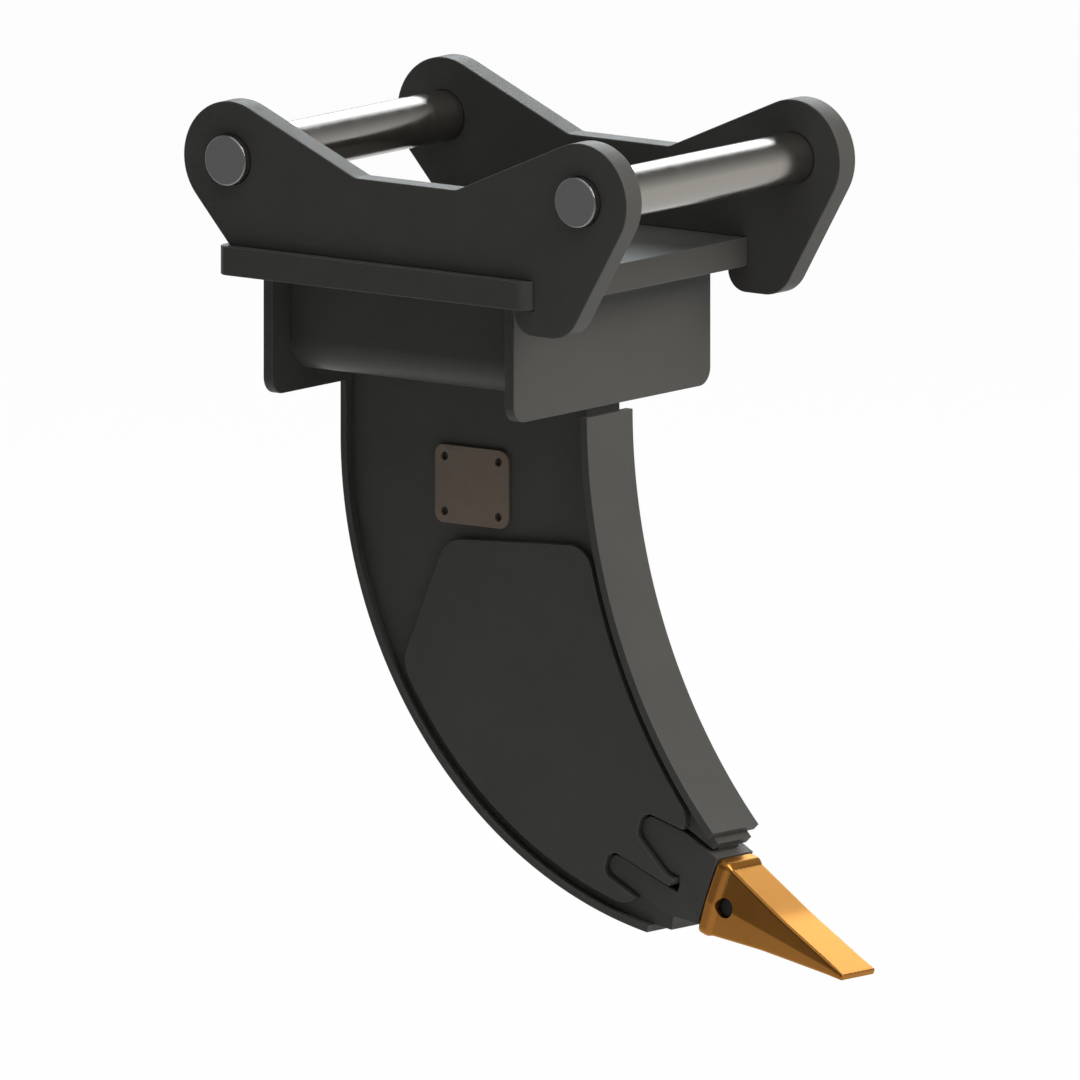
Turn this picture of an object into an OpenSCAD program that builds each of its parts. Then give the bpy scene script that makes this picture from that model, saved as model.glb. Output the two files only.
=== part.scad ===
// Excavator ripper: a hitch head with two ears and two pins, a welded head box,
// a swept shank with welded wear parts, and a forged tooth pinned to a weld-on adapter.
// X points forward, towards the tooth; Y runs along the pins; Z is up.
// The origin lies midway between the two pin axes, on the centre plane.

/* [Hitch pins] */
// Distance between the front and rear pin axes
pin_spacing = 600; // [480:5:700]
// Diameter of both hitch pins
pin_d = 70; // [50:1:90]
// Length of each pin that stands out past the ear
pin_proud = 13; // [5:1:30]
// Chamfer round each pin end
pin_chamfer = 2; // [0.5:0.5:5]
// Radial room between a pin and its hole in the ear
pin_room = 0.1; // [0.05:0.05:0.5]

/* [Ears] */
// Clear width between the two ears
ear_gap = 444; // [380:2:500]
// Thickness of each ear plate
ear_t = 35; // [20:1:50]
// Radius of the ear round each pin
ear_boss_r = 80; // [65:1:95]
// Length of the flat saddle between the two bosses
saddle_len = 172; // [80:2:260]
// Depth of the saddle below the pin axes
saddle_drop = 5; // [0:1:30]
// Fillet at both ends of the saddle
saddle_fillet = 20; // [5:1:40]
// Where the rear slope meets the base plate, behind the rear pin axis
ear_heel = 2; // [0:1:12]
// Slope of the ear's front edge, from the horizontal
ear_nose_angle = 59.4; // [52:0.2:68]
// Length of the ear's hook under the base plate
hook_len = 33; // [15:1:50]
// Depth of the ear's hook below the base plate
hook_depth = 36; // [20:1:50]
// Radius of the hook's rear corner
hook_rear_r = 30; // [10:1:30]
// Radius of the hook's front corner
hook_front_r = 50; // [20:1:60]
// Gap between the hook and the underside of the base plate
hook_gap = 1; // [0.3:0.1:3]

/* [Base plate] */
// Height of the pin axes above the top of the base plate
plate_drop = 118; // [105:1:150]
// Thickness of the base plate
plate_t = 40; // [20:1:50]
// Length of the base plate behind the rear pin axis
plate_tail = 15; // [5:1:40]
// Distance from the plate's front edge back from the front pin axis
plate_setback = 80; // [60:1:110]
// How far the plate stands out past each ear
plate_wing = 15; // [5:1:40]
// Corner radius of the base plate
plate_corner_r = 20; // [5:1:40]

/* [Head box] */
// Thickness of the two cross plates under the base plate
cross_t = 16; // [10:1:25]
// Height of the cross plates
cross_h = 168; // [120:1:220]
// Width of the cross plates
cross_w = 442; // [380:2:480]
// Radius of the cross plates' lower corners
cross_corner_r = 24; // [8:1:40]
// Distance from the base plate's front edge to the front cross plate
cross_front_inset = 61; // [45:1:90]
// Distance from the base plate's rear edge to the rear cross plate
cross_rear_inset = 44; // [30:1:80]
// Width over the two bent side plates
box_w = 364; // [280:2:400]
// Thickness of the bent side plates
box_t = 12; // [8:1:20]
// Height of the bent side plates
box_h = 140; // [100:1:150]
// Outside radius of the bend
box_bend_r = 50; // [25:1:70]

/* [Shank] */
// Thickness of the shank
shank_t = 75; // [60:1:90]
// Radius of the shank's hollow front edge
shank_front_r = 827; // [780:1:900]
// Radius of the shank's round rear edge
shank_rear_r = 638.7; // [600:0.1:680]
// How far the rear edge steps back below the rear cross plate
shank_step = 3.3; // [0:0.1:6]
// Straight length of the rear edge below the rear cross plate
shank_rear_straight = 76; // [50:1:110]
// Straight length of the front edge below the front cross plate
shank_front_straight = 12.8; // [8:0.2:30]
// Angle that the front edge sweeps through, from the vertical
shank_front_sweep = 43.4; // [41:0.1:45]
// Angle that the rear edge sweeps through, from the vertical
shank_rear_sweep = 81.8; // [80:0.1:84]
// Length of the end face above the adapter
end_land_top = 15; // [8:0.5:20]
// Length of the end face below the adapter
end_land_bottom = 16; // [8:0.5:20]

/* [Wear parts] */
// Width of the front bar and the rear strip
wear_w = 103; // [96:1:120]
// Thickness of the bar on the leading edge
bar_t = 12; // [8:0.5:20]
// Angle that the front bar sweeps through
bar_sweep = 42.7; // [38:0.1:43]
// Thickness of the strip on the rear edge
strip_t = 10; // [6:0.5:16]
// Angle that the rear strip sweeps through
strip_sweep = 79.1; // [76:0.1:80]
// Thickness of the cheek plates
cheek_t = 12; // [8:0.5:14]
// Gap between a cheek plate and the front bar
cheek_front_gap = 9; // [5:0.5:20]
// Gap between a cheek plate and the rear strip
cheek_rear_gap = 14.5; // [5:0.5:25]
// Height of the cheek's top edge below the head box, at its rear corner
cheek_top_drop = 203; // [190:1:260]
// Slope of the cheek's top edge
cheek_top_angle = 3; // [0:0.5:8]
// Distance from the shank's front face back to the cheek's rear top corner
cheek_top_len = 232; // [190:1:270]
// Slope of the cheek's rear edge, from the horizontal
cheek_rear_angle = 67; // [60:0.5:75]
// Radius of the cheek's top corners and rear corner
cheek_corner_r = 40; // [15:1:50]
// Radius of the cheek's front lower corner
cheek_nose_r = 24; // [10:1:28]
// Angle that the cheek's front edge sweeps through
cheek_nose_sweep = 39.5; // [38:0.1:40.5]
// Length of the cheek's lower end past the lower leg's tip
cheek_end_len = 57; // [40:1:65]
// Radius of the cheek's lower end
cheek_end_r = 40; // [20:1:45]

/* [Blank plate] */
// Length of the blank plate on the shank
blank_w = 124; // [80:1:140]
// Height of the blank plate
blank_h = 108; // [70:1:110]
// Thickness of the blank plate
blank_t = 6; // [3:0.5:10]
// Corner radius of the blank plate
blank_corner_r = 14; // [5:1:25]
// Diameter of the holes in its corners
blank_hole_d = 12; // [6:0.5:16]
// Distance from each hole to the plate's edges
blank_hole_inset = 16; // [12:0.5:24]
// Height of the plate's centre below the head box
blank_drop = 128; // [115:1:134]
// Distance from the plate's centre back from the shank's front face
blank_setback = 193; // [150:1:230]

/* [Adapter] */
// Downward slope of the tooth's axis
tooth_droop = 20; // [14:0.5:26]
// Distance from the middle of the shank's end to the adapter's shoulder
adapter_reach = 23; // [21:0.5:35]
// How far the tooth's axis lies below the middle of the shank's end
adapter_drop = 3.6; // [0:0.2:6]
// Width over the adapter's legs
adapter_w = 81; // [77:1:92]
// Thickness of each leg
leg_t = 18; // [12:0.5:24]
// Room between the adapter and the shank
leg_room = 0.3; // [0.1:0.1:1]
// Weld groove along the upper edges of the legs
weld_gap = 5; // [2:0.5:8]
// Radius of the relief hole where the two legs part
fork_relief_r = 7; // [4:0.5:9]
// Room between the cheek plate and the legs, above and below
cheek_gap = 4.5; // [2:0.5:6]
// Height of the adapter above the tooth's axis, at the shoulder
adapter_top = 58; // [56:0.5:64]
// Depth of the adapter below the tooth's axis, at the shoulder
adapter_bottom = 42; // [38:0.5:46]
// Length of the upper leg behind the shoulder
upper_leg_len = 132; // [122:1:145]
// Height of the upper leg's tip above the tooth's axis
upper_tip_rise = 48; // [44:0.5:50]
// Radius of the upper leg's tip
upper_tip_r = 17.3; // [14:0.1:20]
// Distance from the shoulder back to the upper leg's root
upper_root_setback = 62.3; // [58:0.1:66]
// Height of the upper leg's root above the tooth's axis
upper_root_rise = 37.5; // [34:0.5:40]
// Radius of the upper leg's root
upper_root_r = 30.7; // [28:0.1:32]
// Length of the lower leg behind the shoulder
lower_leg_len = 166; // [156:1:178]
// Depth of the lower leg's tip below the tooth's axis
lower_tip_drop = 24.9; // [22:0.1:28]
// Radius of the lower leg's tip
lower_tip_r = 14.1; // [11:0.1:16]
// Distance from the shoulder back to the lower leg's root
lower_root_setback = 52.5; // [49:0.1:56]
// Depth of the lower leg's root below the tooth's axis
lower_root_drop = 33.5; // [31:0.1:36]
// Radius of the lower leg's root
lower_root_r = 18.4; // [16:0.1:20]
// Distance from the shoulder back to the fork between the legs
fork_setback = 46; // [42:0.5:48]
// Depth of the fork's lower end below the tooth's axis
fork_drop = 15; // [13:0.1:17]
// Height of the fork's flat end
fork_flat = 11; // [8:0.5:13]

/* [Tooth] */
// Length of the tooth from collar to tip
tooth_len = 247; // [190:1:300]
// Gap between the adapter's shoulder and the tooth's collar
collar_gap = 1.5; // [0.5:0.1:4]
// Height of the collar
collar_h = 109; // [106:1:114]
// How far the collar's middle lies above the tooth's axis
collar_rise = 1.5; // [0:0.5:3]
// Width of the collar
collar_w = 87; // [82:1:100]
// Length of the collar along the tooth
collar_len = 22; // [16:0.5:28]
// Corner radius of the collar
collar_corner_r = 11; // [9:0.5:16]
// Rounding of the collar's rim
collar_round = 7.5; // [4:0.5:8]
// Height of the tooth's top face above its axis, at the collar
tooth_top = 54.5; // [50:0.5:55]
// Distance from the collar's rear face to the bend in the tooth's top face
top_bend_setback = 121; // [100:1:140]
// Height of that bend above the tooth's axis
top_bend_rise = 25; // [22:0.5:27]
// Depth of the tooth's bottom face below its axis, at the collar
tooth_bottom = 51.5; // [48:0.5:52]
// Distance from the collar's rear face to the bend in the tooth's bottom face
bottom_bend_setback = 105; // [90:1:125]
// Depth of that bend below the tooth's axis
bottom_bend_drop = 31.5; // [29:0.5:34]
// Height of the side ridges below the tooth's axis, at the collar
ridge_drop = 3.5; // [0:0.5:8]
// Width of the tooth's top and bottom faces at the collar
tooth_face_w = 75; // [72:1:80]
// Width over the tooth's side ridges at the collar
tooth_ridge_w = 82; // [80:1:86]
// Width of the cutting edge
tip_w = 73; // [60:1:76]
// Thickness of the cutting edge
tip_t = 8; // [5:0.5:14]
// How far the cutting edge lies below the tooth's axis
tip_drop = 6; // [0:0.5:12]
// Diameter of the cross hole through the tooth
hole_d = 28; // [20:0.5:30]
// Distance from the collar's rear face to the cross hole
hole_setback = 32; // [30:0.5:40]
// Depth of the cross hole below the tooth's axis
hole_drop = 2; // [0:0.5:5]
// Length of the socket inside the tooth
socket_len = 122; // [90:1:140]
// Width of the socket at the collar
socket_w = 58; // [44:1:62]
// Height of the socket at the collar
socket_h = 70; // [56:1:74]
// Width of the socket's inner end
socket_end_w = 50; // [36:1:54]
// Height of the socket's inner end
socket_end_h = 18; // [12:1:22]
// Room between the adapter's nose and the socket
socket_room = 1; // [0.3:0.1:2]

/* [Tooth lock] */
// Radial room round the lock pin
lock_room = 0.25; // [0.1:0.05:0.6]
// Depth of the lock pin's ends below the tooth's sides
lock_recess = 9; // [3:0.5:12]
// Chamfer on the lock pin's ends
lock_chamfer = 2; // [0.5:0.5:4]
// Depth of the groove round the lock pin
lock_groove = 1.5; // [0.5:0.1:3]
// Diameter of the lock ring
ring_d = 42; // [36:0.5:50]
// Thickness of the lock ring
ring_t = 7; // [4:0.5:9]

/* [Hidden] */
$fn = 96;
// a hair's overlap, so that curves that would only touch cross cleanly
eps = 0.01;
far = 2000;

paint = [0.19, 0.19, 0.18];
steel = [0.72, 0.73, 0.75];
bronze = [0.36, 0.30, 0.26];
gold = [0.86, 0.56, 0.20];
rubber = [0.12, 0.12, 0.13];

// Hitch and head
pin_x = pin_spacing / 2;
ear_in = ear_gap / 2;
ear_out = ear_in + ear_t;
plate_top = -plate_drop;
plate_bottom = plate_top - plate_t;
plate_front = pin_x - plate_setback;
plate_rear = -pin_x - plate_tail;
plate_half = ear_out + plate_wing;
heel = [-pin_x - ear_heel, plate_top];
cross_front = plate_front - cross_front_inset;
cross_rear = plate_rear + cross_rear_inset;
head_bottom = plate_bottom - cross_h;
hook_bottom = plate_bottom - hook_depth;

// Shank edges: both arcs start where the straight edges end
shank_front = cross_front - cross_t;
shank_top_rear = cross_rear + cross_t;
shank_rear = shank_top_rear - shank_step;
front_c = [shank_front + shank_front_r, head_bottom - shank_front_straight];
rear_c = [shank_rear + shank_rear_r, head_bottom - shank_rear_straight];
function arc_point(c, r, a) = c - r * [cos(a), sin(a)];
end_top = arc_point(front_c, shank_front_r, shank_front_sweep);
end_top_in = arc_point(front_c, shank_front_r + end_land_top, shank_front_sweep);
end_bottom = arc_point(rear_c, shank_rear_r, shank_rear_sweep);
end_bottom_in = arc_point(rear_c, shank_rear_r - end_land_bottom, shank_rear_sweep);

// Tooth frame: u along the tooth's axis, v square to it, both measured from the collar's rear face
axis_u = [cos(tooth_droop), -sin(tooth_droop)];
axis_v = [sin(tooth_droop), cos(tooth_droop)];
collar_c = (end_top + end_bottom) / 2 + (adapter_reach + collar_gap) * axis_u - adapter_drop * axis_v;
shoulder = -collar_gap;
core_half = adapter_w / 2 - leg_t;
cheek_half = shank_t / 2 + cheek_t;
upper_tip = [shoulder - upper_leg_len + upper_tip_r, upper_tip_rise];
upper_root = [shoulder - upper_root_setback, upper_root_rise];
lower_tip = [shoulder - lower_leg_len + lower_tip_r, -lower_tip_drop];
lower_root = [shoulder - lower_root_setback, -lower_root_drop];
fork_u = shoulder - fork_setback;
fork_low = -fork_drop;
function side_point(p) = collar_c + p[0] * axis_u + p[1] * axis_v;

// Socket and lock: sizes shrink along the socket
function socket_half(u, size, end_size) = (size + (end_size - size) * u / socket_len) / 2;
lock_r = hole_d / 2 - lock_room;
groove_r = lock_r - lock_groove;
ring_out = socket_half(hole_setback + ring_d / 2, socket_w, socket_end_w) - socket_room;
ring_in = ring_out - ring_t;
body_rear = collar_len / 2;
plan_taper = atan((tooth_ridge_w - tip_w) / 2 / (tooth_len - body_rear));

// A corner's fillet: the area between the corner p and the arc of radius r that touches
// the two edges leaving p at the angles a and b
module corner_area(p, a, b, r) {
  turn = ((b - a) % 360 + 540) % 360 - 180;
  half = abs(turn) / 2;
  reach = r / tan(half);
  mid = a + turn / 2;
  c = p + r / sin(half) * [cos(mid), sin(mid)];
  difference() {
    polygon([p + (p - c) / 2, p + reach * [cos(a), sin(a)], c, p + reach * [cos(b), sin(b)]]);
    translate(c) circle(r = r + eps);
  }
}

// A bar with round ends of two radii, grown by g
module tapered_bar(p, rp, q, rq, g = 0) {
  way = atan2(q[1] - p[1], q[0] - p[0]);
  lean = acos((rp - rq) / norm(q - p));
  up = [cos(way + lean), sin(way + lean)];
  down = [cos(way - lean), sin(way - lean)];
  translate(p) circle(r = rp + g);
  translate(q) circle(r = rq + g);
  polygon([p + (rp + g - eps) * up, q + (rq + g - eps) * up,
    q + (rq + g - eps) * down, p + (rp + g - eps) * down]);
}

module round_rect(w, h, r) {
  square([w - 2 * r, h], center = true);
  square([w, h - 2 * r], center = true);
  for (x = [-1, 1], y = [-1, 1])
    translate([x * (w / 2 - r), y * (h / 2 - r)]) circle(r = r);
}

// Stands an outline drawn in X and Z up between two Y positions
module across(y0, y1) {
  translate([0, y1, 0]) rotate([90, 0, 0]) linear_extrude(height = y1 - y0) children();
}

// Runs an outline drawn in Y and Z along X between two X positions
module along(x0, x1) {
  translate([x0, 0, 0]) rotate([90, 0, 90]) linear_extrude(height = x1 - x0) children();
}

module in_tooth_frame() {
  translate([collar_c[0], 0, collar_c[1]]) rotate([0, tooth_droop, 0]) children();
}

// Ears

// Where a line from the point p touches the circle of radius r about c
function touch_point(p, c, r, side) =
  let (d = c - p, way = atan2(d[1], d[0]) + side * asin(r / norm(d)))
  p + sqrt(d * d - r * r) * [cos(way), sin(way)];

// The web of an ear between its two bosses, with the hook that grips the base plate
module ear_web() {
  rear = [-pin_x, 0];
  front = [pin_x, 0];
  saddle_rear = [-saddle_len / 2, -saddle_drop];
  saddle_front = [saddle_len / 2, -saddle_drop];
  touch_r = ear_boss_r - eps;
  rear_top = touch_point(saddle_rear, rear, touch_r, -1);
  front_top = touch_point(saddle_front, front, touch_r, 1);
  rear_low = touch_point(heel, rear, touch_r, 1);
  front_low = front + touch_r * [sin(ear_nose_angle), -cos(ear_nose_angle)];
  nose_run = (front_low[1] - hook_bottom) / tan(ear_nose_angle);
  hook_front = [front_low[0] - nose_run, hook_bottom];
  hook_rear = [plate_front - hook_len, hook_bottom];
  slope = atan2(rear_top[1] - saddle_rear[1], rear_top[0] - saddle_rear[0]);
  difference() {
    union() {
      polygon([rear_top, saddle_rear, saddle_front, front_top, front_low,
        hook_front, hook_rear, [hook_rear[0], plate_top], heel, rear_low]);
      corner_area(saddle_rear, slope, 0, saddle_fillet);
      corner_area(saddle_front, 180, 180 - slope, saddle_fillet);
    }
    corner_area(hook_rear, 0, 90, hook_rear_r);
    corner_area(hook_front, 180, ear_nose_angle, hook_front_r);
    translate([hook_rear[0] - eps, plate_bottom - hook_gap])
      square([hook_len + eps, plate_t + hook_gap]);
  }
}

module ear(y0) {
  color(paint) difference() {
    union() {
      across(y0, y0 + ear_t) ear_web();
      for (x = [-pin_x, pin_x]) across(y0, y0 + ear_t) translate([x, 0]) circle(r = ear_boss_r);
    }
    for (x = [-pin_x, pin_x])
      across(y0 - 1, y0 + ear_t + 1) translate([x, 0]) circle(d = pin_d + 2 * pin_room);
  }
}

module right_ear() { ear(-ear_out); }

module left_ear() { ear(ear_in); }

// Hitch pins

module hitch_pin(x) {
  half = ear_out + pin_proud;
  color(steel) translate([x, 0, 0]) rotate([90, 0, 0]) rotate_extrude()
    polygon([[0, -half], [pin_d / 2 - pin_chamfer, -half], [pin_d / 2, pin_chamfer - half],
      [pin_d / 2, half - pin_chamfer], [pin_d / 2 - pin_chamfer, half], [0, half]]);
}

module front_hitch_pin() { hitch_pin(pin_x); }

module rear_hitch_pin() { hitch_pin(-pin_x); }

// Head box

module base_plate() {
  color(paint) translate([(plate_front + plate_rear) / 2, 0, plate_bottom])
    linear_extrude(height = plate_t)
      round_rect(plate_front - plate_rear, 2 * plate_half, plate_corner_r);
}

module cross_plate(x0) {
  color(paint) along(x0, x0 + cross_t) difference() {
    translate([-cross_w / 2, head_bottom]) square([cross_w, cross_h]);
    corner_area([-cross_w / 2, head_bottom], 0, 90, cross_corner_r);
    corner_area([cross_w / 2, head_bottom], 90, 180, cross_corner_r);
  }
}

module head_front_plate() { cross_plate(shank_front); }

module head_rear_plate() { cross_plate(cross_rear); }

// Bent from one plate: a wall down from the base plate, a bend, and a floor in to the shank
module bent_plate() {
  wall = box_w / 2;
  floor_z = plate_bottom - box_h;
  bend_c = [wall - box_bend_r, floor_z + box_bend_r];
  translate([wall - box_t, bend_c[1]]) square([box_t, plate_bottom - bend_c[1]]);
  translate([shank_t / 2, floor_z]) square([bend_c[0] - shank_t / 2, box_t]);
  difference() {
    intersection() {
      translate(bend_c) circle(r = box_bend_r);
      translate([bend_c[0], floor_z]) square(box_bend_r);
    }
    translate(bend_c) circle(r = box_bend_r - box_t);
  }
}

module right_side_plate() {
  color(paint) along(shank_top_rear, shank_front) mirror([1, 0]) bent_plate();
}

module left_side_plate() { color(paint) along(shank_top_rear, shank_front) bent_plate(); }

// Shank and its wear parts

// The area past the shank's end, pushed back by g
module past_shank_end(g = 0) {
  shift = g * axis_u;
  polygon([front_c + shift, end_top_in + shift, end_bottom_in + shift,
    arc_point(rear_c, far, shank_rear_sweep) + shift, [far, -far], [far, front_c[1]]]);
}

module shank_side() {
  difference() {
    union() {
      translate([shank_top_rear, head_bottom])
        square([shank_front - shank_top_rear, plate_bottom - head_bottom]);
      translate([shank_rear, rear_c[1]])
        square([front_c[0] - shank_rear, head_bottom - rear_c[1]]);
      intersection() {
        translate(rear_c) circle(r = shank_rear_r);
        translate([shank_rear, rear_c[1] - far]) square(far);
      }
    }
    translate(front_c) circle(r = shank_front_r);
    translate([shank_front, front_c[1]]) square(far);
    past_shank_end();
  }
}

module shank() {
  color(paint) difference() {
    across(-shank_t / 2, shank_t / 2) shank_side();
    for (side = [-1, 1]) in_tooth_frame()
      translate([0, side * (core_half - leg_room + shank_t / 2), 0])
        across(-shank_t / 2, shank_t / 2) {
          adapter_side(leg_room);
          translate([0, weld_gap]) adapter_side(leg_room);
          fork_relief();
        }
  }
}

// A band along an arc, from the level of its centre down to the angle a
module arc_band(c, r_in, r_out, a) {
  difference() {
    translate(c) circle(r = r_out);
    translate(c) circle(r = r_in);
    translate([c[0] - far, c[1]]) square(2 * far);
    polygon([c, arc_point(c, far, a), [c[0] + far, c[1] - far], [c[0] + far, c[1]]]);
  }
}

module front_wear_bar() {
  color(paint) across(-wear_w / 2, wear_w / 2)
    arc_band(front_c, shank_front_r - bar_t, shank_front_r, bar_sweep);
}

module rear_wear_strip() {
  color(paint) across(-wear_w / 2, wear_w / 2) {
    arc_band(rear_c, shank_rear_r, shank_rear_r + strip_t, strip_sweep);
    translate([shank_rear - strip_t, rear_c[1]]) square([strip_t, shank_rear_straight]);
  }
}

// How far a ray from p runs to the circle of radius r about c
function ray_reach(p, way, c, r, side) =
  let (d = c - p, run = d * way)
  run + side * sqrt(r * r - d * d + run * run);

// A corner's fillet between the straight edge that leaves p at the angle a and the arc
// of radius arc_r about arc_c; side is the side of the edge that the plate lies on
module arc_corner_area(p, a, side, arc_c, arc_r, r, inside) {
  way = [cos(a), sin(a)];
  start = p + r * side * [-sin(a), cos(a)];
  c = start + ray_reach(start, way, arc_c, arc_r - inside * r, -inside) * way;
  foot = p + ((c - p) * way) * way;
  on_arc = arc_c + arc_r * (c - arc_c) / norm(c - arc_c);
  difference() {
    polygon([p + (p - c) / 2, foot, c, on_arc]);
    translate(c) circle(r = r + eps);
  }
}

// Outline of a cheek plate, before its cut-outs for the legs
module cheek_side() {
  front_r = shank_front_r + cheek_front_gap;
  rear_r = shank_rear_r - cheek_rear_gap;
  corner = [shank_front - cheek_top_len, head_bottom - cheek_top_drop];
  top_way = [cos(cheek_top_angle), sin(cheek_top_angle)];
  rear_way = -[cos(cheek_rear_angle), sin(cheek_rear_angle)];
  top_front = corner + ray_reach(corner, top_way, front_c, front_r, -1) * top_way;
  rear_low = corner + ray_reach(corner, rear_way, rear_c, rear_r, 1) * rear_way;
  // the lower edges run in under the two legs
  nose = arc_point(front_c, front_r, cheek_nose_sweep);
  nose_in = side_point(upper_root);
  nose_way = atan2(nose_in[1] - nose[1], nose_in[0] - nose[0]);
  heel_in = side_point(lower_tip + cheek_end_len * (lower_root - lower_tip) / norm(lower_root - lower_tip));
  heel_out = rear_c + rear_r * (heel_in - rear_c) / norm(heel_in - rear_c);
  heel_way = atan2(heel_in[1] - heel_out[1], heel_in[0] - heel_out[0]);
  difference() {
    intersection() {
      translate(rear_c) circle(r = rear_r);
      polygon([corner, corner + far * top_way, [far, -far], corner + far * rear_way]);
    }
    translate(front_c) circle(r = front_r);
    polygon([front_c, 2 * nose - nose_in, nose_in, side_point([fork_u, fork_low]), side_point(lower_root),
      heel_in, 2 * heel_out - heel_in, [far, -far], [far, front_c[1]]]);
    corner_area(corner, cheek_top_angle, cheek_rear_angle + 180, cheek_corner_r);
    arc_corner_area(top_front, cheek_top_angle + 180, 1, front_c, front_r, cheek_corner_r, -1);
    arc_corner_area(rear_low, cheek_rear_angle, -1, rear_c, rear_r, cheek_corner_r, 1);
    arc_corner_area(nose, nose_way, -1, front_c, front_r, cheek_nose_r, -1);
    arc_corner_area(heel_out, heel_way, 1, rear_c, rear_r, cheek_end_r, 1);
  }
}

// The cheeks lie flat on the shank, cut away round both legs
module cheek_plate(y0) {
  color(paint) difference() {
    across(y0, y0 + cheek_t) cheek_side();
    in_tooth_frame() across(y0 - 1, y0 + cheek_t + 1) {
      for (shift = [-cheek_gap, 0, cheek_gap])
        translate([0, shift]) adapter_side(leg_room);
      fork_relief();
    }
  }
}

module right_cheek_plate() { cheek_plate(-cheek_half); }

module left_cheek_plate() { cheek_plate(shank_t / 2); }

module blank_plate() {
  color(bronze) across(-shank_t / 2 - blank_t, -shank_t / 2)
    translate([shank_front - blank_setback, head_bottom - blank_drop]) difference() {
      round_rect(blank_w, blank_h, blank_corner_r);
      for (x = [-1, 1], z = [-1, 1])
        translate([x * (blank_w / 2 - blank_hole_inset), z * (blank_h / 2 - blank_hole_inset)])
          circle(d = blank_hole_d);
    }
}

// Adapter

// Side of the adapter in the tooth frame, grown by g
module adapter_side(g = 0) {
  top = [shoulder, adapter_top + g];
  bottom = [shoulder, -adapter_bottom - g];
  tapered_bar(upper_tip, upper_tip_r, upper_root, upper_root_r, g);
  tapered_bar(lower_tip, lower_tip_r, lower_root, lower_root_r, g);
  polygon([upper_root, touch_point(top, upper_root, upper_root_r + g - eps, -1), top, bottom,
    touch_point(bottom, lower_root, lower_root_r + g - eps, 1), lower_root,
    [fork_u - g, fork_low], [fork_u - g, fork_low + fork_flat]]);
}

module fork_relief() {
  translate([fork_u - fork_relief_r / 2, fork_low + fork_flat / 2]) circle(r = fork_relief_r);
}

// A taper seen from one side, from u0 to u1
function taper(u0, u1, size, end_size, room) =
  let (a = socket_half(u0, size, end_size) - room, b = socket_half(u1, size, end_size) - room)
  [[u0, a], [u1, b], [u1, -b], [u0, -a]];

// The tapered block that fills the tooth's socket, less some room all round
module nose_block(u0, room) {
  u1 = socket_len - room;
  intersection() {
    across(-socket_w, socket_w) polygon(taper(u0, u1, socket_h, socket_end_h, room));
    translate([0, 0, -socket_h]) linear_extrude(height = 2 * socket_h)
      polygon(taper(u0, u1, socket_w, socket_end_w, room));
  }
}

module tooth_adapter() {
  color(paint) difference() {
    in_tooth_frame() {
      across(-adapter_w / 2, adapter_w / 2) adapter_side();
      nose_block(shoulder - 1, socket_room);
    }
    // the slot that straddles the shank's core
    across(-core_half, core_half) difference() {
      translate([-far, -far]) square(2 * far);
      past_shank_end(leg_room);
    }
    in_tooth_frame() at_cross_hole() {
      cylinder(d = hole_d, h = 2 * collar_w, center = true);
      translate([0, 0, ring_in - lock_room]) cylinder(d = ring_d + 2 * lock_room, h = collar_w);
    }
  }
}

// Tooth and its lock

module at_cross_hole() {
  translate([hole_setback, 0, -hole_drop]) rotate([90, 0, 0]) children();
}

// A rim with rounded edges, from three outlines that cross
module tooth_collar() {
  translate([0, 0, collar_rise]) intersection() {
    along(0, collar_len) round_rect(collar_w, collar_h, collar_corner_r);
    across(-collar_w, collar_w) translate([collar_len / 2, 0])
      round_rect(collar_len, collar_h, collar_round);
    translate([collar_len / 2, 0, -collar_h]) linear_extrude(height = 2 * collar_h)
      round_rect(collar_len, collar_w, collar_round);
  }
}

// Everything on the inner side of the left ridge, which runs in towards the tip
module inside_ridge() {
  lean = (tooth_ridge_w - tooth_face_w) / 2;
  rise = tooth_top + ridge_drop;
  fall = tooth_bottom - ridge_drop;
  translate([body_rear, tooth_ridge_w / 2, -ridge_drop]) rotate([0, 0, -plan_taper])
    along(-collar_len, 2 * tooth_len)
      polygon([[0, 0], [-2 * lean, 2 * rise], [-2 * collar_w, 2 * rise],
        [-2 * collar_w, -2 * fall], [-2 * lean, -2 * fall]]);
}

// A wedge with ridged sides, slightly dished above and below
module tooth_body() {
  intersection() {
    across(-collar_w, collar_w) polygon([[body_rear, tooth_top],
      [top_bend_setback, top_bend_rise], [tooth_len, tip_t / 2 - tip_drop],
      [tooth_len, -tip_t / 2 - tip_drop], [bottom_bend_setback, -bottom_bend_drop],
      [body_rear, -tooth_bottom]]);
    inside_ridge();
    mirror([0, 1, 0]) inside_ridge();
  }
}

module tooth() {
  color(gold) in_tooth_frame() difference() {
    union() {
      tooth_collar();
      tooth_body();
    }
    nose_block(-1, 0);
    at_cross_hole() cylinder(d = hole_d, h = 2 * collar_w, center = true);
  }
}

module lock_pin() {
  half = tooth_ridge_w / 2 - lock_recess;
  color(steel) in_tooth_frame() at_cross_hole() rotate_extrude()
    polygon([[0, -half], [lock_r - lock_chamfer, -half], [lock_r, lock_chamfer - half],
      [lock_r, ring_in - lock_room], [groove_r, ring_in - lock_room],
      [groove_r, ring_out + lock_room], [lock_r, ring_out + lock_room],
      [lock_r, half - lock_chamfer], [lock_r - lock_chamfer, half], [0, half]]);
}

// Snaps into the pin's groove and sits in the nose's side
module lock_ring() {
  color(rubber) in_tooth_frame() at_cross_hole() translate([0, 0, ring_in]) difference() {
    cylinder(d = ring_d, h = ring_t);
    translate([0, 0, -1]) cylinder(r = groove_r + lock_room, h = ring_t + 2);
  }
}

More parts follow.
